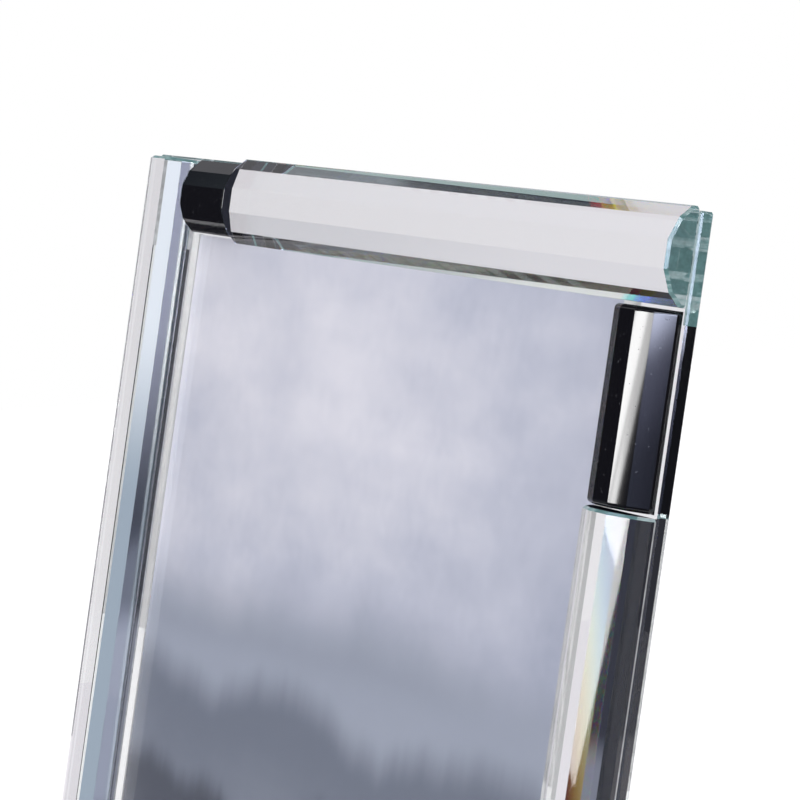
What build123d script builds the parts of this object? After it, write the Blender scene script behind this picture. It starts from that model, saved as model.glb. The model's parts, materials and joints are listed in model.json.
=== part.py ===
from build123d import *
import math
import os

# A table-top photo frame of cut glass: faceted clear bars and black blocks bonded round the front of a
# glass plate, with a slide-in pocket and a hinged stand leg behind it.
# Everything is modelled upright, with X to the right, Y to the back and Z up, the plate's front face at
# Y = 0 and its bottom edge at Z = 0. The whole frame is then leaned back on its leg.
# Millimetres and degrees.

# The print and the strips that make its pocket
print_width = 130.0
print_height = 180.0
print_thickness = 0.3
print_gap = 0.12            # from the print to the back of the plate
print_clearance = 0.2       # from the print to each strip beside and below it
print_top_lap = 0.65        # how far the print reaches up behind the top bar
side_reveal = 1.0           # from the print to the bar beside it, as seen from the front
bottom_reveal = 2.8         # from the print to the bar below it
strip_width = 3.2
strip_thickness = 0.8
strip_top_lap = 0.8         # how far the side strips reach up behind the top bar

# The faceted bars of the rows (top and bottom) and of the columns (left and right)
row_bar_width = 14.8
row_bar_depth = 4.55
column_bar_width = 16.0
column_bar_depth = 4.85
bar_flat = 0.293            # front facet, as a share of the width
bar_shoulder = 0.742        # the three front facets together, as a share of the width
bar_shoulder_depth = 0.67   # front of the outer facets, as a share of the depth
bar_lip = 0.215             # upright side below the outer facets, as a share of the depth
bar_arris = 0.45            # chamfer round each cut end

# The black blocks at the head of each row and column
row_block_length = 16.3
row_block_width = 12.9
row_block_depth = 4.05
column_block_length = 29.5
column_block_width = 14.5
column_block_depth = 4.6
block_flat = 0.258
block_shoulder = 0.672
block_shoulder_depth = 0.74
block_lip = 0.22
block_round = 0.8           # radius round each end

# How the border lies on the plate
row_joint = 0.2             # gap between the pieces along a row
column_joint = 0.5          # gap between the pieces along a column
border_lift = 0.6           # bars stand this far above the plate's top edge
side_margin = 0.3           # from the columns to the side of the plate
row_end_margin = 0.75       # from the end of a row to the side of the plate
column_end_inset = 1.1      # from the end of a column to the outer line of the rows

# The plate
plate_thickness = 2.2
plate_arris = 0.3

# The back board
board_thickness = 2.4
board_drop = 14.0           # from the top of the window down to the board, so that the print can be gripped
board_inset = 1.5           # how far the side strips stand out past the board
board_corner = 3.0
board_bevel = 2.0           # chamfer round the back of the board
thumb_notch_radius = 9.0

# The stand leg and its hinge
lean_angle = 9.5
leg_angle = 19.5            # between the leg and the board, when the frame stands
hinge_height = 150.0        # hinge pin above the plate's bottom edge
leg_thickness = 2.4
leg_top_width = 34.0
leg_foot_width = 52.0
leg_corner = 4.0
leg_fold_gap = 0.5          # from the folded leg to the board
leg_top_gap = 0.4           # from the leg's top edge to the hinge barrel
barrel_radius = 1.9
barrel_gap = 0.2            # from the barrel to the board
pin_radius = 0.9
pin_clearance = 0.05
pin_head_radius = 1.4
pin_head_thickness = 0.5
knuckle_gap = 0.3
leaf_thickness = 0.8
leaf_corner = 3.0
board_leaf_width = 24.0
board_leaf_height = 18.0
leg_leaf_width = 22.0
leg_leaf_height = 20.0
leg_knuckle_width = 10.0
stop_gap = 0.06             # left between the leg's stop tail and the board's leaf
rivet_shank_radius = 1.2
rivet_head_radius = 2.2
rivet_head_height = 0.6
rivet_clearance = 0.05
rivet_spacing = 15.0
board_rivet_height = 11.0    # above the hinge pin
leg_rivet_drop = 12.5        # below the hinge pin

# Where things lie, worked out from the sizes above
window_width = print_width + 2 * side_reveal
window_height = bottom_reveal + print_height - print_top_lap
plate_width = window_width + 2 * (column_bar_width + side_margin)
plate_height = window_height + 2 * row_bar_width
window_bottom_z = border_lift + row_bar_width
window_top_z = window_bottom_z + window_height
border_middle_z = (window_bottom_z + window_top_z) / 2
column_x = window_width / 2 + column_bar_width / 2
top_row_z = window_top_z + row_bar_width / 2
pocket_y = plate_thickness
board_y = pocket_y + strip_thickness
board_back_y = board_y + board_thickness
print_bottom_z = window_top_z + print_top_lap - print_height
strip_inner_x = print_width / 2 + print_clearance
strip_outer_x = strip_inner_x + strip_width
strip_bottom_z = print_bottom_z - print_clearance - strip_width
strip_top_z = window_top_z + strip_top_lap
board_top_z = window_top_z - board_drop
board_half_width = strip_outer_x - board_inset
pin_y = board_back_y + barrel_gap + barrel_radius
leg_front_y = board_back_y + leg_fold_gap
leg_back_y = leg_front_y + leg_thickness
leg_top_z = hinge_height - barrel_radius - leg_top_gap


def facet_section(width, depth, flat, shoulder, shoulder_depth, lip):
    """Section of a bar or block: a flat back and five facets."""
    upper = [
        (0, width / 2),
        (-lip * depth, width / 2),
        (-shoulder_depth * depth, shoulder * width / 2),
        (-depth, flat * width / 2),
    ]
    lower = [(y, -z) for y, z in reversed(upper)]
    return Plane.YZ * make_face(Polyline(*upper, *lower, close=True))


def end_rims(prism):
    """The edges round the two ends of a prism along X, apart from those on its back."""
    ends = prism.faces().filter_by(Axis.X)
    return [edge for end in ends for edge in end.edges() if edge.center().Y < 0]


def faceted_bar(length, width, depth):
    """A clear bar along X about the origin, its back on Y = 0, with the arrises of its ends taken off."""
    section = facet_section(width, depth, bar_flat, bar_shoulder, bar_shoulder_depth, bar_lip)
    bar = Pos(-length / 2, 0, 0) * extrude(section, length)
    return chamfer(end_rims(bar), bar_arris)


def faceted_block(length, width, depth):
    """A black block along X about the origin, its back on Y = 0, with rounded ends."""
    section = facet_section(width, depth, block_flat, block_shoulder, block_shoulder_depth, block_lip)
    block = Pos(-length / 2, 0, 0) * extrude(section, length)
    return fillet(end_rims(block), block_round)


def in_row(piece, start):
    """Put a piece into the top row, from start along X."""
    return Pos(start + piece.bounding_box().size.X / 2, 0, top_row_z) * piece


def in_column(piece, top):
    """Put a piece into the right column, from its top downwards."""
    return Pos(column_x, 0, top - piece.bounding_box().size.X / 2) * Rot(Y=90) * piece


def half_turn(piece):
    """The same piece at the opposite place of the border, turned about the middle of the window."""
    middle = Pos(0, 0, border_middle_z)
    return middle * Rot(Y=180) * middle.inverse() * piece


def glass_plate():
    plate = Pos(0, plate_thickness / 2, plate_height / 2) * Box(plate_width, plate_thickness, plate_height)
    return chamfer(plate.edges(), plate_arris)


def glass_border():
    """The four bars and four blocks, each running past the next one at one corner."""
    block_start = -window_width / 2 + row_joint
    bar_start = block_start + row_block_length + row_joint
    bar_end = plate_width / 2 - row_end_margin
    block_top = window_top_z - column_joint
    bar_top = block_top - column_block_length - column_joint
    bar_bottom = border_lift + column_end_inset
    top_block = in_row(faceted_block(row_block_length, row_block_width, row_block_depth), block_start)
    top_bar = in_row(faceted_bar(bar_end - bar_start, row_bar_width, row_bar_depth), bar_start)
    right_block = in_column(
        faceted_block(column_block_length, column_block_width, column_block_depth), block_top)
    right_bar = in_column(faceted_bar(bar_top - bar_bottom, column_bar_width, column_bar_depth), bar_top)
    return {
        "top_block": top_block,
        "top_bar": top_bar,
        "right_block": right_block,
        "right_bar": right_bar,
        "bottom_block": half_turn(top_block),
        "bottom_bar": half_turn(top_bar),
        "left_block": half_turn(right_block),
        "left_bar": half_turn(right_bar),
    }


def pocket_strips():
    """Three strips between the plate and the board: the pocket is open at the top."""
    side_height = strip_top_z - strip_bottom_z
    side_x = (strip_inner_x + strip_outer_x) / 2
    side_z = (strip_bottom_z + strip_top_z) / 2
    strip_y = pocket_y + strip_thickness / 2
    side = Box(strip_width, strip_thickness, side_height)
    bottom = Box(2 * strip_inner_x, strip_thickness, strip_width)
    return {
        "left_strip": Pos(-side_x, strip_y, side_z) * side,
        "right_strip": Pos(side_x, strip_y, side_z) * side,
        "bottom_strip": Pos(0, strip_y, strip_bottom_z + strip_width / 2) * bottom,
    }


def photo_print():
    sheet = Box(print_width, print_thickness, print_height)
    sheet_y = pocket_y + print_gap + print_thickness / 2
    return Pos(0, sheet_y, print_bottom_z + print_height / 2) * sheet


def hinge_rivet_places(above_pin):
    """Points of the two rivets of a leaf, at a height above or below the hinge pin."""
    return [(side * rivet_spacing / 2, hinge_height + above_pin) for side in (-1, 1)]


board_rivets = hinge_rivet_places(board_rivet_height)
leg_rivets = hinge_rivet_places(-leg_rivet_drop)


def rivet_holes(places, front_y, back_y):
    radius = rivet_shank_radius + rivet_clearance
    hole = Rot(X=90) * Cylinder(radius, back_y - front_y)
    return [Pos(x, (front_y + back_y) / 2, z) * hole for x, z in places]


def rivets(places, front_y, back_y):
    """Rivets flush with the face at front_y, with a domed head on the face at back_y."""
    shank = Rot(X=90) * Cylinder(rivet_shank_radius, back_y - front_y)
    dome_radius = (rivet_head_radius ** 2 + rivet_head_height ** 2) / (2 * rivet_head_height)
    dome = Pos(0, 0, rivet_head_height - dome_radius) * Sphere(dome_radius)
    head_space = Pos(0, 0, rivet_head_height / 2) * Cylinder(rivet_head_radius, rivet_head_height)
    head = Rot(X=-90) * (dome & head_space)
    group = Part()
    for x, z in places:
        group += Pos(x, (front_y + back_y) / 2, z) * shank + Pos(x, back_y, z) * head
    return group


def back_board():
    height = board_top_z - strip_bottom_z
    middle_z = (strip_bottom_z + board_top_z) / 2
    board = Box(2 * board_half_width, board_thickness, height)
    board = Pos(0, (board_y + board_back_y) / 2, middle_z) * board
    board = fillet(board.edges().filter_by(Axis.Y), board_corner)
    board = chamfer(board.faces().sort_by(Axis.Y)[-1].edges(), board_bevel)
    notch = Rot(X=90) * Cylinder(thumb_notch_radius, 2 * board_thickness)
    board -= Pos(0, (board_y + board_back_y) / 2, board_top_z) * notch
    return board - rivet_holes(board_rivets, board_y, board_back_y)


def knuckle(start, end):
    """A length of the hinge barrel along X, bored for the pin."""
    barrel = Cylinder(barrel_radius, end - start) - Cylinder(pin_radius + pin_clearance, end - start)
    return Pos((start + end) / 2, pin_y, hinge_height) * Rot(Y=90) * barrel


def pin_bore(length):
    bore = Cylinder(pin_radius + pin_clearance, length)
    return Pos(0, pin_y, hinge_height) * Rot(Y=90) * bore


def end_corners(sheet, z):
    """The corner edges of an upright sheet that lie at one height."""
    return sheet.edges().filter_by(Axis.Y).filter_by_position(Axis.Z, z, z)


def leaf(width, bottom, top, front_y, rounded_z):
    """A flat hinge leaf, with round corners at the end that is away from the pin."""
    plate = Box(width, leaf_thickness, top - bottom)
    plate = Pos(0, front_y + leaf_thickness / 2, (bottom + top) / 2) * plate
    return fillet(end_corners(plate, rounded_z), leaf_corner)


def board_leaf():
    """The leaf on the board, with the two outer knuckles and a notch for the leg's knuckle."""
    top = hinge_height + board_leaf_height
    body = leaf(board_leaf_width, hinge_height, top, board_back_y, top)
    inner = leg_knuckle_width / 2 + knuckle_gap
    outer = board_leaf_width / 2
    notch_height = 2 * (barrel_radius + knuckle_gap)
    notch = Pos(0, board_back_y, hinge_height) * Box(2 * inner, 4 * leaf_thickness, notch_height)
    body = body - notch + knuckle(inner, outer) + knuckle(-outer, -inner)
    body -= pin_bore(board_leaf_width)
    return body - rivet_holes(board_rivets, board_back_y, board_back_y + leaf_thickness)


def leg_leaf():
    """The leaf on the leg, with the middle knuckle and a tail above it that stops the leg."""
    bottom = hinge_height - leg_leaf_height
    body = leaf(leg_leaf_width, bottom, leg_top_z, leg_back_y, bottom)
    stop = math.radians(leg_angle)
    tail_offset = leg_back_y - pin_y
    room = pin_y + tail_offset * math.cos(stop) - (board_back_y + leaf_thickness) - stop_gap
    tail_length = room / math.sin(stop)
    neck_height = hinge_height + tail_length - leg_top_z
    neck = Box(leg_knuckle_width, leaf_thickness, neck_height)
    neck = Pos(0, leg_back_y + leaf_thickness / 2, leg_top_z + neck_height / 2) * neck
    body = body + neck + knuckle(-leg_knuckle_width / 2, leg_knuckle_width / 2)
    body -= pin_bore(leg_knuckle_width)
    return body - rivet_holes(leg_rivets, leg_back_y, leg_back_y + leaf_thickness)


def hinge_pin():
    pin = Cylinder(pin_radius, board_leaf_width)
    head = Cylinder(pin_head_radius, pin_head_thickness)
    head_x = board_leaf_width / 2 + pin_head_thickness / 2
    pin += [Pos(0, 0, side * head_x) * head for side in (-1, 1)]
    return Pos(0, pin_y, hinge_height) * Rot(Y=90) * pin


def stand_leg():
    """The leg as it lies folded, left long at the foot: the foot is cut level when the frame stands."""
    foot_spare = 2 * leg_thickness
    bottom = hinge_height - leg_reach - foot_spare
    taper = (leg_foot_width - leg_top_width) / (leg_top_z - hinge_height + leg_reach)
    bottom_width = leg_top_width + taper * (leg_top_z - bottom)
    outline = Polyline(
        (-leg_top_width / 2, leg_top_z),
        (leg_top_width / 2, leg_top_z),
        (bottom_width / 2, bottom),
        (-bottom_width / 2, bottom),
        close=True,
    )
    leg = extrude(Plane.XZ * make_face(outline), -leg_thickness)
    leg = Pos(0, leg_front_y, 0) * leg
    leg = fillet(end_corners(leg, leg_top_z), leg_corner)
    return leg - rivet_holes(leg_rivets, leg_front_y, leg_back_y)


# The frame stands on the back edge of the plate, past its arris, and on the foot of the leg.
lean = math.radians(lean_angle)
leg_slope = math.radians(leg_angle - lean_angle)
heel_drop = max(
    plate_thickness * math.sin(lean) - plate_arris * math.cos(lean),
    (plate_thickness - plate_arris) * math.sin(lean),
)
pin_above_floor = hinge_height * math.cos(lean) - pin_y * math.sin(lean) + heel_drop
leg_reach = pin_above_floor / math.cos(leg_slope)


def open_leg(piece):
    """Swing a piece of the leg out to its standing angle."""
    pin = Pos(0, pin_y, hinge_height)
    return pin * Rot(X=leg_angle) * pin.inverse() * piece


def lean_back(piece):
    """Lean a piece of the upright frame back, with the plate's back edge on the floor."""
    return Pos(0, 0, heel_drop) * Rot(X=-lean_angle) * piece


pieces = {"front_glass": glass_plate()}
pieces.update(glass_border())
pieces.update(pocket_strips())
pieces["photo_print"] = photo_print()
pieces["back_board"] = back_board()
pieces["board_leaf"] = board_leaf()
pieces["board_rivets"] = rivets(board_rivets, board_y, board_back_y + leaf_thickness)
pieces["hinge_pin"] = hinge_pin()
pieces["stand_leg"] = open_leg(stand_leg())
pieces["leg_leaf"] = open_leg(leg_leaf())
pieces["leg_rivets"] = open_leg(rivets(leg_rivets, leg_front_y, leg_back_y + leaf_thickness))

standing = {name: lean_back(piece) for name, piece in pieces.items()}
standing["stand_leg"] = split(standing["stand_leg"], bisect_by=Plane.XY, keep=Keep.TOP)

# The origin is on the floor, in the middle of the frame's footprint.
boxes = [piece.bounding_box() for piece in standing.values()]
front = min(box.min.Y for box in boxes)
back = max(box.max.Y for box in boxes)
to_origin = Pos(0, -(front + back) / 2, 0)

os.makedirs("parts", exist_ok=True)
for name, piece in standing.items():
    export_step(to_origin * piece, f"parts/{name}.step")

pin_place = to_origin * Pos(0, 0, heel_drop) * Rot(X=-lean_angle) * Pos(0, pin_y, hinge_height)
print("plate", plate_width, plate_height)
print("hinge pin at", pin_place.position)
print("leg reach", leg_reach, "footprint depth", back - front)
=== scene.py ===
import json
import math

import bpy
from mathutils import Matrix, Quaternion, Vector

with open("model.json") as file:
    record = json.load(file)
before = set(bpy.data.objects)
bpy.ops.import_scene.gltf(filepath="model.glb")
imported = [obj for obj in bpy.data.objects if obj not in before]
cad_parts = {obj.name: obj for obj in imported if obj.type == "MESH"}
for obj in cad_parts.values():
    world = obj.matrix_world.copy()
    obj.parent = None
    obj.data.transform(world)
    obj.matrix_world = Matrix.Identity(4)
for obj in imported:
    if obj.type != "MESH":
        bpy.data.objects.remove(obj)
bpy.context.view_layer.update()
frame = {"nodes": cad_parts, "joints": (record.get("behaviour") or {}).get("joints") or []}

# Metres. The frame leans back, and "upright" is the turn that stands its plate straight again,
# so that bars, gaps and print can be described along X, Y and Z.
MM = 0.001
nodes = frame["nodes"]
slide = next(j for j in frame["joints"] if j["name"] == "print_slide")
LEAN = math.atan2(slide["axis"][1], slide["axis"][2])
UPRIGHT = Matrix.Rotation(LEAN, 4, "X")

CLEAR_BARS = ("left_bar", "top_bar", "right_bar", "bottom_bar")
BLACK_BLOCKS = ("left_block", "top_block", "right_block", "bottom_block")
STRIPS = ("left_strip", "right_strip", "bottom_strip")

# The camera of the photograph
CAMERA_PLACE = (0.4733, -0.2869, 0.2454)
CAMERA_AZIMUTH = 58.07
CAMERA_ELEVATION = 7.42
CAMERA_LENS = 153.8
CAMERA_SENSOR = 36.0

GLASS_IOR = 1.515
CONTACT_SKIN = 0.05 * MM     # a face this near a bonded or printed plane belongs to it


def upright_box(node):
    """Lowest and highest corner of a CAD node when the frame is stood straight."""
    points = [UPRIGHT @ vertex.co for vertex in nodes[node].data.vertices]
    low = Vector([min(p[i] for p in points) for i in range(3)])
    high = Vector([max(p[i] for p in points) for i in range(3)])
    return low, high


class Wire:
    """An output socket that can stand in a Python sum or product, which adds Math nodes."""

    def __init__(self, finish, socket):
        self.finish = finish
        self.socket = socket

    def math(self, operation, *others):
        values = dict(enumerate((self,) + others))
        return self.finish.node("ShaderNodeMath", {"operation": operation}, values)

    def reflected(self, operation, other):
        return self.finish.node("ShaderNodeMath", {"operation": operation}, {0: other, 1: self})

    def __add__(self, other):
        return self.math("ADD", other)

    def __radd__(self, other):
        return self.math("ADD", other)

    def __sub__(self, other):
        return self.math("SUBTRACT", other)

    def __rsub__(self, other):
        return self.reflected("SUBTRACT", other)

    def __mul__(self, other):
        return self.math("MULTIPLY", other)

    def __rmul__(self, other):
        return self.math("MULTIPLY", other)

    def __truediv__(self, other):
        return self.math("DIVIDE", other)

    def __pow__(self, other):
        return self.math("POWER", other)

    def __gt__(self, other):
        return self.math("GREATER_THAN", other)

    def __lt__(self, other):
        return self.math("LESS_THAN", other)

    def between(self, low, high):
        return (self > low) * (self < high)

    def ramp(self, start, end):
        """0 before start and 1 after end, with a smooth step between them."""
        values = {"Value": self, "From Min": start, "From Max": end}
        return self.finish.node("ShaderNodeMapRange", {"interpolation_type": "SMOOTHSTEP"}, values)


class Finish:
    """A node tree of a material or the world, with the steps that the finishes below share."""

    def __init__(self, name, owner=None):
        self.owner = owner or bpy.data.materials.new(name)
        self.owner.use_nodes = True
        self.tree = self.owner.node_tree
        self.tree.nodes.clear()

    def node(self, kind, settings=None, values=None, out=0):
        """A new node, its settings made first, then its sockets set or linked. Gives one output."""
        made = self.tree.nodes.new(kind)
        for name, setting in (settings or {}).items():
            if name == "stops":
                self.set_stops(made.color_ramp, setting)
            else:
                setattr(made, name, setting)
        for name, value in (values or {}).items():
            if isinstance(value, Wire):
                self.tree.links.new(value.socket, made.inputs[name])
            else:
                made.inputs[name].default_value = value
        return Wire(self, made.outputs[out]) if made.outputs else made

    def set_stops(self, ramp, stops):
        for place, _ in stops[2:]:
            ramp.elements.new(place)
        for element, (place, colour) in zip(ramp.elements, sorted(stops)):
            element.position = place
            element.color = (*colour, 1)

    def place(self):
        """Object coordinates with the frame stood straight, in metres."""
        spot = self.node("ShaderNodeTexCoord", out="Object")
        return self.node("ShaderNodeMapping", None, {"Vector": spot, "Rotation": (LEAN, 0, 0)})

    def axes(self, vector):
        split = self.node("ShaderNodeSeparateXYZ", None, {"Vector": vector})
        return [Wire(self, split.socket.node.outputs[name]) for name in "XYZ"]

    def stretch(self, vector, scale):
        return self.node("ShaderNodeVectorMath", {"operation": "MULTIPLY"}, {0: vector, 1: scale})

    def noise(self, vector, scale, detail=3.0, roughness=0.5):
        values = {"Vector": vector, "Scale": scale, "Detail": detail, "Roughness": roughness}
        return self.node("ShaderNodeTexNoise", None, values, "Fac")

    def ramp(self, factor, stops):
        return self.node("ShaderNodeValToRGB", {"stops": stops}, {"Fac": factor})

    def blend(self, factor, first, second, how="MIX"):
        """A mix of two colours."""
        settings = {"data_type": "RGBA", "blend_type": how}
        made = self.node("ShaderNodeMix", settings, {0: factor})
        for index, colour in ((6, first), (7, second)):
            if isinstance(colour, Wire):
                self.tree.links.new(colour.socket, made.socket.node.inputs[index])
            else:
                made.socket.node.inputs[index].default_value = (*colour, 1)
        return Wire(self, made.socket.node.outputs[2])

    def bump(self, height, distance, strength=1.0):
        values = {"Height": height, "Distance": distance, "Strength": strength}
        return self.node("ShaderNodeBump", None, values)

    def path(self, *rays):
        """1 for rays of the named kinds."""
        total, *others = [self.node("ShaderNodeLightPath", out=ray) for ray in rays]
        for other in others:
            total = total.math("MAXIMUM", other)
        return total

    def principled(self, **values):
        named = {name.replace("_", " "): value for name, value in values.items()}
        for name, value in named.items():
            if isinstance(value, tuple) and len(value) == 3:
                named[name] = (*value, 1)
        return self.node("ShaderNodeBsdfPrincipled", None, named)

    def mix(self, factor, first, second):
        return self.node("ShaderNodeMixShader", None, {0: factor, 1: first, 2: second})

    def add(self, first, second):
        return self.node("ShaderNodeAddShader", None, {0: first, 1: second})

    def clear(self):
        return self.node("ShaderNodeBsdfTransparent")

    def finish(self, shader, output="ShaderNodeOutputMaterial"):
        self.node(output, None, {"Surface": shader})
        return self.owner


def dress(names, material):
    for name in names:
        mesh = nodes[name].data
        mesh.materials.clear()
        mesh.materials.append(material)


# Glass

PLATE_LOW, PLATE_HIGH = upright_box("front_glass")
FRONT_Y = PLATE_LOW.y
WINDOW_MIDDLE = (PLATE_LOW + PLATE_HIGH) / 2
HEAD_START = upright_box("top_bar")[0].z - 2.4 * MM     # the sides are ground from here up
GLASS_TINT = (0.987, 0.992, 0.992)
CUT_GREEN = (0.21, 0.41, 0.42)
LIP_GREY = (0.50, 0.53, 0.57)
LIP_WHITE = (0.80, 0.82, 0.85)
BOND_BLACK = (0.006, 0.006, 0.009)
# The bars' ends stuck to the blocks are a dark joint, drawn lighter than the black blocks as painted
# light, standing in for light that does not reach them
JOINT_BLACK_PAINTED_LIGHTER = (0.035, 0.037, 0.052)
DISPERSION = (-0.0032, 0.0, 0.0042)     # steps of the index for red, green and blue light
ENTRY_SPREAD = 2.0                      # times those steps, where a front facet splits colours

# How far a face is ground, where the green ground face on the plate's sides by the head and on the
# bars' free ends is painted light: 0 is polished and 1 is fully ground
GROUND_SIDE_PAINTED_LIGHT, GROUND_TOP = 0.72, 0.432   # the plate
GROUND_END_PAINTED_LIGHT, GROUND_RIM = 0.62, 0.66     # the free ends of the bars, and the arrises round both ends
GROUND_LIP, GROUND_LINE, GROUND_EDGE = 0.55, 0.85, 0.70     # their lips, and lines along the plate

# The facets, as shares of the half width and of the depth
BAR_FLAT, BAR_SHOULDER, BAR_SIDE = 0.293, 0.742, 0.985
BLOCK_FLAT, BLOCK_SHOULDER = 0.258, 0.672
BLOCK_SHOULDER_DEPTH, BLOCK_LIP = 0.74, 0.22
NO_CROWN = 2.0                          # a radius that leaves a facet all but flat


def inside_boxes(names, x, z):
    """1 where a point of the upright frame lies behind one of the named pieces."""
    covered = None
    for name in names:
        low, high = upright_box(name)
        here = x.between(low.x, high.x) * z.between(low.z, high.z)
        covered = here if covered is None else covered + here
    return covered


def bent(glass, normal=None, colour=GLASS_TINT, index=GLASS_IOR):
    """The light that polished glass lets through."""
    values = {"Color": (*colour, 1), "Roughness": 0, "IOR": index}
    if normal:
        values["Normal"] = normal
    return glass.node("ShaderNodeBsdfRefraction", None, values)


def prism(glass, normal=None):
    """Red, green and blue light let through together, each with its own index."""
    total = None
    for channel, step in enumerate(DISPERSION):
        colour = tuple(GLASS_TINT[channel] if i == channel else 0 for i in range(3))
        part = bent(glass, normal, colour, GLASS_IOR + ENTRY_SPREAD * step)
        total = part if total is None else glass.add(total, part)
    return total


def fresnel(glass, index, normal=None):
    values = {"IOR": index}
    if normal:
        values["Normal"] = normal
    return glass.node("ShaderNodeFresnel", None, values)


def mirror(glass, colour, roughness, normal=None):
    values = {"Color": (*colour, 1), "Roughness": roughness}
    if normal:
        values["Normal"] = normal
    return glass.node("ShaderNodeBsdfAnisotropic", None, values)


def outer_side(glass, splitting=None, normal=None):
    """A mirror by the angle of view over a clear view into the glass, which may split colours."""
    clear = bent(glass, normal)
    if splitting:
        clear = glass.mix(splitting, clear, prism(glass, normal))
    return glass.mix(fresnel(glass, GLASS_IOR, normal), clear, mirror(glass, (1, 1, 1), 0.03, normal))


def inner_side(glass):
    """The glass from inside. Near the angle of total reflection, red light leaves first
    and blue light last."""
    indices = [GLASS_IOR + step for step in DISPERSION]
    red, green, blue = (fresnel(glass, index) for index in indices)
    r, g, b = GLASS_TINT
    shares = (
        (red, mirror(glass, GLASS_TINT, 0)),
        (green - red, mirror(glass, (0, g, b), 0)),
        (blue - green, mirror(glass, (0, 0, b), 0)),
        (1 - blue, bent(glass, None, GLASS_TINT, indices[2])),
        (blue - green, bent(glass, None, (r, g, 0), indices[1])),
        (green - red, bent(glass, None, (r, 0, 0), indices[0])),
    )
    total = None
    for share, shader in shares:
        part = glass.node("ShaderNodeMixShader", None, {0: share, 2: shader})
        total = part if total is None else glass.add(total, part)
    return total


def both_sides(glass, splitting=None, normal=None):
    inside = glass.node("ShaderNodeNewGeometry", out="Backfacing")
    return glass.mix(inside, outer_side(glass, splitting, normal), inner_side(glass))


def cut_face_and_painted_light(glass, place, tint=CUT_GREEN):
    """A finely ground face, which shows the green of the glass. On the plate's sides by the head and on
    the bars' free ends, this green is painted light.
    """
    grain = glass.noise(place, 900, 4)
    dark, pale = (tuple(part * share for part in tint) for share in (0.8, 1.2))
    colour = glass.ramp(grain, [(0.3, dark), (0.7, pale)])
    return glass.principled(Base_Color=colour, Roughness=0.12, IOR=GLASS_IOR)


def dark_bond(glass, colour):
    """A clear face that is stuck to a black block."""
    return glass.node("ShaderNodeBsdfDiffuse", None, {"Color": (*colour, 1)})


def plate_glass():
    """The front plate, clear under the bars, black under the blocks, and ground along its top. Its
    sides by the head are green as painted light.
    """
    glass = Finish("plate_glass")
    place = glass.place()
    x, y, z = glass.axes(place)
    front = y < FRONT_Y + CONTACT_SKIN
    under_bars = inside_boxes(CLEAR_BARS, x, z) * front
    under_blocks = inside_boxes(BLACK_BLOCKS, x, z) * front
    inset = 0.32 * MM       # a little more than the arris
    # The sides beside the head take the green face as painted light, standing in for light carried
    # through the plate; the top is ground
    side = (x.math("ABSOLUTE") > upright_box("top_bar")[1].x) * (z > HEAD_START)
    top = z > PLATE_HIGH.z - inset
    ground_and_painted_light = (GROUND_SIDE_PAINTED_LIGHT * side).math("MAXIMUM", GROUND_TOP * top)
    shader = glass.mix(ground_and_painted_light, both_sides(glass), cut_face_and_painted_light(glass, place))
    shader = glass.mix(under_blocks, shader, dark_bond(glass, BOND_BLACK))
    through = glass.path("Is Shadow Ray", "Is Diffuse Ray").math("MAXIMUM", under_bars)
    return glass.finish(glass.mix(through, shader, glass.clear()))


def block_outline(block, other, depth, offset):
    """1 inside the section of a black block: an offset from its middle, a depth above the plate."""
    low, high = upright_box(block)
    half = (high[other] - low[other]) / 2
    rise = FRONT_Y - low.y
    shoulder, flat = BLOCK_SHOULDER * half, BLOCK_FLAT * half
    steep_slope = (BLOCK_SHOULDER_DEPTH - BLOCK_LIP) * rise / (half - shoulder)
    steep = BLOCK_SHOULDER_DEPTH * rise - depth > (offset - shoulder) * steep_slope
    gentle_slope = (1 - BLOCK_SHOULDER_DEPTH) * rise / (shoulder - flat)
    gentle = rise - depth > (offset - flat) * gentle_slope
    return steep * gentle * (depth < rise) * (offset < half)


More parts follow.
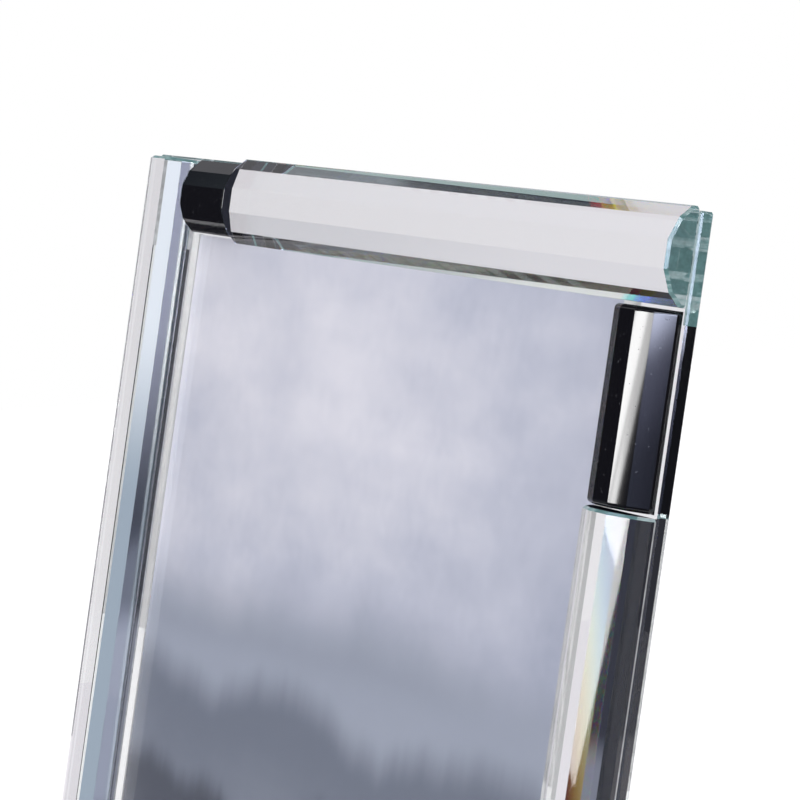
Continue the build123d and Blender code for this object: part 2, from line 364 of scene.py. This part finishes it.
def bar_glass(node, axis, block, block_end, crown_shares, crown_radius, splits):
    """A clear bar along X or Z. Its back is bonded to the plate, and one end to a black block.
    The facet between two shares of the half width is a little crowned, and may split colours.
    The lips beside the print are ground, and the columns have white ground lines along the plate."""
    low, high = upright_box(node)
    glass = Finish(f"{node}_glass")
    place = glass.place()
    x, y, z = glass.axes(place)
    index = 0 if axis == "X" else 2
    along, across = (x, z) if axis == "X" else (z, x)
    other = 2 - index
    half = (high[other] - low[other]) / 2
    middle = (low[other] + high[other]) / 2
    offset = (across - middle).math("ABSOLUTE")
    depth = FRONT_Y - y
    skin, arris = 0.02 * MM, 0.46 * MM
    far, near = along > high[index] - skin, along < low[index] + skin
    joined, free = (near, far) if block_end == "low" else (far, near)
    rim = (along > high[index] - arris) + (along < low[index] + arris) - far - near

    inner, outer = (share * half for share in crown_shares)
    crowned = offset.between(inner, outer) * (across > middle)
    crown = crowned * (offset - (inner + outer) / 2) ** 2 / (-2 * crown_radius)
    shader = both_sides(glass, crowned if splits else None, glass.bump(crown, 1.0))
    # The bars' free ends take the green face as painted light, standing in for light carried back along
    # the bar; the arrises round both ends are ground
    shader = glass.mix(GROUND_END_PAINTED_LIGHT * free + GROUND_RIM * rim, shader, cut_face_and_painted_light(glass, place))

    inwards = math.copysign(1, WINDOW_MIDDLE[other] - middle)
    inner_lip = (across - middle) * inwards > half - skin
    outer_lip = (offset > half - skin) * (1 - inner_lip)
    along_plate = depth < 0.3 * MM
    if node == "left_bar":
        lines = inner_lip * along_plate + outer_lip * (along > HEAD_START)
        shader = glass.mix(GROUND_LINE * lines, shader, cut_face_and_painted_light(glass, place, LIP_WHITE))
    else:
        shader = glass.mix(GROUND_LIP * inner_lip, shader, cut_face_and_painted_light(glass, place, LIP_GREY))
    if node == "right_bar":
        line = outer_lip * along_plate
        shader = glass.mix(GROUND_EDGE * line, shader, cut_face_and_painted_light(glass, place, LIP_WHITE))

    # The end stuck to its block is a dark joint, drawn lighter than the block as painted light
    stuck = joined * block_outline(block, other, depth, offset)
    shader = glass.mix(stuck, shader, dark_bond(glass, JOINT_BLACK_PAINTED_LIGHTER))
    bonded = depth < CONTACT_SKIN
    through = glass.path("Is Shadow Ray", "Is Diffuse Ray").math("MAXIMUM", bonded)
    return glass.finish(glass.mix(through, shader, glass.clear()))


BLOCK_BLACK = (0.005, 0.005, 0.007)
DUST_GREY = (0.20, 0.20, 0.22)
SHOULDER_CROWN, SIDE_CROWN = 26 * MM, 60 * MM       # radii across the two outer facets
CROWN_DRIFT = 1.8 * MM      # how far the top of the crown moves across, from one end to the other


def black_glass():
    """Polished black glass with fine marks, slightly crowned across the columns' outer facets."""
    glass = Finish("black_glass")
    place = glass.place()
    x, y, z = glass.axes(place)
    low, high = upright_box("right_block")
    half = (high.x - low.x) / 2
    offset = x.math("ABSOLUTE") - (low.x + high.x) / 2
    run = (z - low.z) / (high.z - low.z)
    inner, outer = BLOCK_FLAT * half, BLOCK_SHOULDER * half
    top_of_crown = (inner + outer) / 2 + (run - 1.0) * CROWN_DRIFT
    crown = offset.between(inner, outer) * (offset - top_of_crown) ** 2 / (-2 * SHOULDER_CROWN)
    crown = crown + (offset > outer) * (offset - outer) ** 2 / (-2 * SIDE_CROWN)
    scratch = glass.noise(glass.stretch(place, (1, 1, 0.03)), 2600, 2).ramp(0.70, 0.74)
    dust = glass.noise(place, 1700, 2).ramp(0.70, 0.76)
    colour = glass.blend(0.25 * dust, BLOCK_BLACK, DUST_GREY)
    return glass.finish(glass.principled(
        Base_Color=colour,
        Roughness=0.05 + 0.05 * offset.between(inner, outer) + 0.1 * scratch + 0.2 * dust,
        IOR=GLASS_IOR,
        Normal=glass.bump(crown, 1.0),
    ))


# The print

PRINT_LOW, PRINT_HIGH = upright_box("photo_print")
MIST = (0.50, 0.53, 0.62)
PAPER_WHITE = (0.85, 0.85, 0.84)

# Each layer of hills: its height, its swing, its number of hills, the softness of its ridge, its colour
HILLS = (
    (0.66, 0.11, 2.6, 0.040, (0.36, 0.39, 0.49)),
    (0.58, 0.13, 4.0, 0.026, (0.17, 0.19, 0.25)),
    (0.48, 0.14, 5.0, 0.018, (0.075, 0.082, 0.11)),
    (0.34, 0.16, 7.0, 0.010, (0.026, 0.029, 0.040)),
)


def picture():
    """A misty landscape: a mottled pale sky over layered hills, on white paper."""
    paper = Finish("photo_paper")
    place = paper.place()
    x, y, z = paper.axes(place)
    across = (x - PRINT_LOW.x) / (PRINT_HIGH.x - PRINT_LOW.x)
    up = (z - PRINT_LOW.z) / (PRINT_HIGH.z - PRINT_LOW.z)
    clouds = paper.noise(place, 22, 3, 0.45)
    wisps = paper.noise(paper.stretch(place, (1, 1, 2.2)), 60, 4)
    glow = 1 - ((up - 0.91) * 4.0).math("ABSOLUTE").ramp(0, 1)
    side_glow = 1 - ((across - 0.42) * 1.8).math("ABSOLUTE").ramp(0, 1)
    mottle = paper.noise(paper.stretch(place, (1, 1, 0.6)), 520, 4, 0.62)
    tone = 0.72 * clouds + 0.26 * wisps + 0.18 * glow + 0.14 * side_glow + 0.12 * (mottle - 0.5)
    colour = paper.ramp(tone - 0.14, [
        (0.2, (0.40, 0.43, 0.56)),
        (0.48, (0.61, 0.625, 0.755)),
        (0.74, (0.87, 0.855, 0.955)),
    ])
    for number, (base, swing, count, haze, shade) in enumerate(HILLS):
        spot = paper.node("ShaderNodeCombineXYZ", None, {"X": across * count, "Y": 3.7 * number})
        ridge = base + swing * (paper.noise(spot, 1.0, 6, 0.55) - 0.5)
        below = (ridge - up).ramp(-haze, haze)
        mist = 0.75 * (ridge - up + 0.08 * (wisps - 0.5)).ramp(0.02, 0.30)
        veil = tuple(0.35 * s + 0.65 * m for s, m in zip(shade, MIST))
        colour = paper.blend(below, colour, paper.blend(mist, shade, veil))
    grain = paper.ramp(paper.noise(place, 5200, 2), [(0.3, (0, 0, 0)), (0.7, (1, 1, 1))])
    colour = paper.blend(0.05, colour, grain, "OVERLAY")
    printed = y < PRINT_LOW.y + CONTACT_SKIN
    colour = paper.blend(printed, PAPER_WHITE, colour)
    return paper.finish(paper.principled(Base_Color=colour, Roughness=0.38))


def foam():
    """White foam with fine cells."""
    strip = Finish("white_foam")
    place = strip.place()
    cells = strip.noise(place, 2600, 4)
    colour = strip.ramp(cells, [(0.3, (0.87, 0.87, 0.89)), (0.7, (0.96, 0.96, 0.97))])
    return strip.finish(strip.principled(
        Base_Color=colour, Roughness=0.8, Normal=strip.bump(cells, 0.05 * MM)))


def velvet():
    """Black flock on card, brushed in soft patches."""
    cloth = Finish("black_velvet")
    place = cloth.place()
    nap = cloth.noise(place, 2400, 4, 0.65)
    tufts = cloth.noise(place, 700, 3)
    brushed = cloth.noise(cloth.stretch(place, (1, 1, 0.4)), 38, 3)
    colour = cloth.ramp(0.45 * nap + 0.2 * tufts + 0.35 * brushed, [
        (0.32, (0.004, 0.004, 0.005)),
        (0.52, (0.016, 0.016, 0.018)),
        (0.68, (0.050, 0.050, 0.055)),
    ])
    return cloth.finish(cloth.principled(
        Base_Color=colour, Roughness=0.95, Sheen_Weight=0.3, Sheen_Roughness=0.35,
        Normal=cloth.bump(nap + tufts, 0.2 * MM)))


def soften(names, width):
    """Rounds the edges of flocked pieces with live modifiers."""
    for name in names:
        weld = nodes[name].modifiers.new("weld", "WELD")
        weld.merge_threshold = 0.001 * MM
        edge = nodes[name].modifiers.new("soft_edge", "BEVEL")
        edge.width = width
        edge.segments = 3
        edge.limit_method = "ANGLE"
        edge.angle_limit = math.radians(35)


def steel(name, dark, pale):
    """Brushed steel, its colour between a dark and a pale one, and duller where it is worn."""
    metal = Finish(name)
    place = metal.place()
    lines = metal.noise(metal.stretch(place, (1, 14, 14)), 420, 4)
    worn = metal.noise(place, 160, 4).ramp(0.5, 0.72)
    colour = metal.ramp(lines, [(0.3, dark), (0.7, pale)])
    return metal.finish(metal.principled(
        Base_Color=colour, Metallic=1.0, Roughness=0.24 + 0.12 * lines + 0.12 * worn,
        Normal=metal.bump(lines, 0.01 * MM)))


HINGE_DARK, HINGE_PALE = (0.50, 0.49, 0.47), (0.66, 0.65, 0.63)
RIVET_DARK, RIVET_PALE = (0.30, 0.29, 0.28), (0.42, 0.41, 0.40)

dress(["front_glass"], plate_glass())
for bar, axis, block, block_end, crown_shares, crown_radius, splits in (
        ("left_bar", "Z", "left_block", "low", (BAR_SHOULDER, BAR_SIDE), 55 * MM, False),
        ("top_bar", "X", "top_block", "low", (BAR_SHOULDER, BAR_SIDE), NO_CROWN, False),
        ("right_bar", "Z", "right_block", "high", (BAR_FLAT, BAR_SHOULDER), 150 * MM, True),
        ("bottom_bar", "X", "bottom_block", "high", (BAR_SHOULDER, BAR_SIDE), NO_CROWN, False)):
    dress([bar], bar_glass(bar, axis, block, block_end, crown_shares, crown_radius, splits))
dress(BLACK_BLOCKS, black_glass())
dress(["photo_print"], picture())
dress(STRIPS, foam())
dress(["back_board", "stand_leg"], velvet())
soften(["back_board", "stand_leg"], 0.5 * MM)
dress(["board_leaf", "leg_leaf", "hinge_pin"], steel("hinge_steel", HINGE_DARK, HINGE_PALE))
dress(["board_rivets", "leg_rivets"], steel("rivet_steel", RIVET_DARK, RIVET_PALE))


# The studio: a white table, a pale backdrop behind, a dark room in front with three softboxes,
# and what the glass picks up from the rest of the room

FLOOR_SIZE = (2.4, 3.6)
FLOOR_MIDDLE = (0.0, 0.9)
FLOOR_COLOUR = (0.80, 0.80, 0.80)
FLOOR_GLOW = 0.58
FLOOR_IN_GLASS = 0.90
FLOOR_DIP = 0.09            # how much less it glows beside the frame
FLOOR_TINT_IN_GLASS = (0.98, 0.948, 1.0)
FILL = 0.66
DARK_ROOM = (0.024, 0.024, 0.031)
SOFTBOX_AIM = (-0.02, 0.0, 0.2)
SOFTBOX_ROLL = -22


def floor_finish():
    """White paper. The glass sees it glow behind and beside the frame, and sees the dark room
    past it in front."""
    paper = Finish("table_white")
    x, y, z = paper.axes(paper.node("ShaderNodeNewGeometry", out="Position"))
    matte = paper.node("ShaderNodeBsdfDiffuse", None, {"Color": (*FLOOR_COLOUR, 1)})
    to_camera = paper.path("Is Camera Ray")
    glow = paper.node("ShaderNodeEmission", None, {"Strength": to_camera * FLOOR_GLOW})
    both = paper.add(matte, glow)
    beside = x.between(-0.5, -0.1) * y.between(-0.15, 0.09)
    lit = paper.node("ShaderNodeEmission", None, {
        "Color": (*FLOOR_TINT_IN_GLASS, 1), "Strength": FLOOR_IN_GLASS - FLOOR_DIP * beside})
    mirrored = paper.mix(x.between(-0.55, 0.55) * (y > -0.18), paper.clear(), lit)
    return paper.finish(paper.mix(paper.path("Is Glossy Ray", "Is Transmission Ray"), both, mirrored))


def make_floor():
    bpy.ops.object.select_all(action="DESELECT")
    bpy.ops.mesh.primitive_plane_add(size=1, location=(*FLOOR_MIDDLE, 0))
    floor = bpy.context.object
    floor.name = "table"
    floor.scale = (*FLOOR_SIZE, 1)
    floor.data.materials.append(floor_finish())


def make_world():
    """White to the camera, an even fill to matt faces, and light and dark zones to the glass.
    The zones go by direction: z is up, y is to the back and x is to the right."""
    world = bpy.data.worlds.new("studio")
    bpy.context.scene.world = world
    studio = Finish("studio", world)
    direction = studio.node("ShaderNodeTexCoord", out="Generated")
    x, y, z = studio.axes(direction)
    left = x < 0

    def window(value, low, high, soft):
        return value.ramp(low - soft, low + soft) * (1 - value.ramp(high - soft, high + soft))

    room = DARK_ROOM
    shelf = window(z, 0.1005, 0.125, 0.001) * window(y, -0.516, -0.44, 0.004) * left
    room = studio.blend(shelf, room, (0.18, 0.20, 0.22))
    table = window(z, -0.25, -0.17, 0.02) * (y < -0.42) * left
    room = studio.blend(table, room, (0.36, 0.47, 0.46))
    table_edge = window(z, -0.09, -0.034, 0.006) * (y < -0.42) * left
    room = studio.blend(table_edge, room, (0.19, 0.20, 0.25))
    corner = window(z, -0.12, 0.05, 0.01) * window(y, -0.42, -0.34, 0.01) * left
    room = studio.blend(corner, room, (0.002, 0.002, 0.003))
    panel = window(z, 0.30, 0.46, 0.03) * window(y, -0.52, -0.29, 0.03) * left
    panel_grey = studio.blend(y.ramp(-0.42, -0.35), (0.70, 0.72, 0.74), (0.26, 0.33, 0.38))
    room = studio.blend(panel, room, panel_grey)
    stripe = window(y, -0.764, -0.758, 0.003) * left
    room = studio.blend(stripe, room, (0.30, 0.31, 0.30))
    lamp_room = studio.blend(z.ramp(0.03, 0.085), (0.37, 0.44, 0.53), (0.86, 0.91, 1.0))
    room = studio.blend(window(y, -0.715, -0.632, 0.012) * left, room, lamp_room)

    ceiling = studio.blend(z.ramp(0.08, 0.105), (0.45, 0.50, 0.75), (1.3, 1.4, 2.1))
    ceiling = studio.blend(z.ramp(0.111, 0.127), ceiling, (14.0, 15.0, 19.5))
    ceiling = studio.blend(x.ramp(0.60, 0.69), ceiling, studio.stretch(ceiling, (0.32, 0.32, 0.34)))
    wall = studio.blend(z.ramp(0.055, 0.125), (0.85, 1.0, 1.45), (6.9, 7.4, 9.8))
    wall = studio.blend(z.ramp(0.043, 0.053), (3.0, 3.4, 4.6), wall)
    strip_light = studio.blend(z.ramp(0.05, 0.12), (5.5, 6.5, 7.6), (18.8, 19.8, 20.4))
    above = z.ramp(-0.12, -0.06)
    room = studio.blend(window(x, 0.497, 0.540, 0.004) * above, room, wall)
    room = studio.blend(window(x, 0.540, 0.549, 0.002) * above, room, strip_light)
    room = studio.blend(window(x, 0.550, 0.60, 0.003) * above, room, (0.7, 1.0, 1.4))
    room = studio.blend(x.ramp(0.592, 0.600) * above, room, ceiling)

    backdrop = studio.ramp(0.5 + 0.5 * z, [
        (0.0, (0.96, 0.945, 0.970)),
        (0.40, (0.95, 0.932, 0.960)),
        (0.457, (0.87, 0.852, 0.890)),
        (0.61, (0.78, 0.762, 0.81)),
        (0.745, (0.45, 0.45, 0.48)),
        (0.775, (0.08, 0.08, 0.10)),
    ])
    flag = window(y, 0.245, 0.362, 0.012) * window(z, -0.21, -0.03, 0.02) * left
    backdrop = studio.blend(flag, backdrop, (0.07, 0.07, 0.09))
    backdrop = studio.blend(x.ramp(0.5, 0.7), backdrop, (0.08, 0.08, 0.09))

    seen_in_glass = studio.blend(y.ramp(-0.04, 0.10), room, backdrop)
    mirrored = studio.path("Is Glossy Ray", "Is Transmission Ray")
    colour = studio.blend(mirrored, (FILL, FILL, FILL), seen_in_glass)
    colour = studio.blend(studio.path("Is Camera Ray"), colour, (1.0, 1.0, 1.0))
    background = studio.node("ShaderNodeBackground", None, {"Color": colour})
    studio.finish(background, "ShaderNodeOutputWorld")


def make_softbox(name, place, size, power):
    lamp = bpy.data.lights.new(name, "AREA")
    lamp.shape = "RECTANGLE"
    lamp.size, lamp.size_y = size
    lamp.energy = power
    box = bpy.data.objects.new(name, lamp)
    bpy.context.scene.collection.objects.link(box)
    box.location = place
    aim = Vector(SOFTBOX_AIM) - Vector(place)
    turn = aim.to_track_quat("-Z", "Y") @ Quaternion((0, 0, 1), math.radians(SOFTBOX_ROLL))
    box.rotation_euler = turn.to_euler()
    box.visible_camera = False
    return box


def keep_glare_off_plate(boxes):
    """The softboxes light everything but the front plate, so that they make no glare over the print."""
    plate = bpy.data.collections.new("glare_free")
    plate.objects.link(nodes["front_glass"])
    for box in boxes:
        box.light_linking.receiver_collection = plate
    plate.collection_objects[0].light_linking.link_state = "EXCLUDE"


def make_camera():
    camera = bpy.data.cameras.new("camera")
    camera.lens = CAMERA_LENS
    camera.sensor_width = CAMERA_SENSOR
    stand = bpy.data.objects.new("camera", camera)
    bpy.context.scene.collection.objects.link(stand)
    stand.location = CAMERA_PLACE
    stand.rotation_euler = (
        math.radians(90 - CAMERA_ELEVATION), 0, math.radians(CAMERA_AZIMUTH))
    camera.clip_start, camera.clip_end = 0.01, 20
    bpy.context.scene.camera = stand


make_floor()
make_world()
keep_glare_off_plate([
    make_softbox("key_softbox", (-0.115, -1.2, 0.37), (0.29, 0.36), 3.6),
    make_softbox("upper_softbox", (-0.165, -1.19, 0.43), (0.19, 0.28), 1.9),
    make_softbox("low_softbox", (-0.045, -1.185, 0.29), (0.07, 0.04), 0.09),
])
make_camera()
scene = bpy.context.scene
scene.view_settings.view_transform = "Standard"
scene.cycles.max_bounces = 40
scene.cycles.glossy_bounces = 32
scene.cycles.transmission_bounces = 32
scene.cycles.transparent_max_bounces = 96
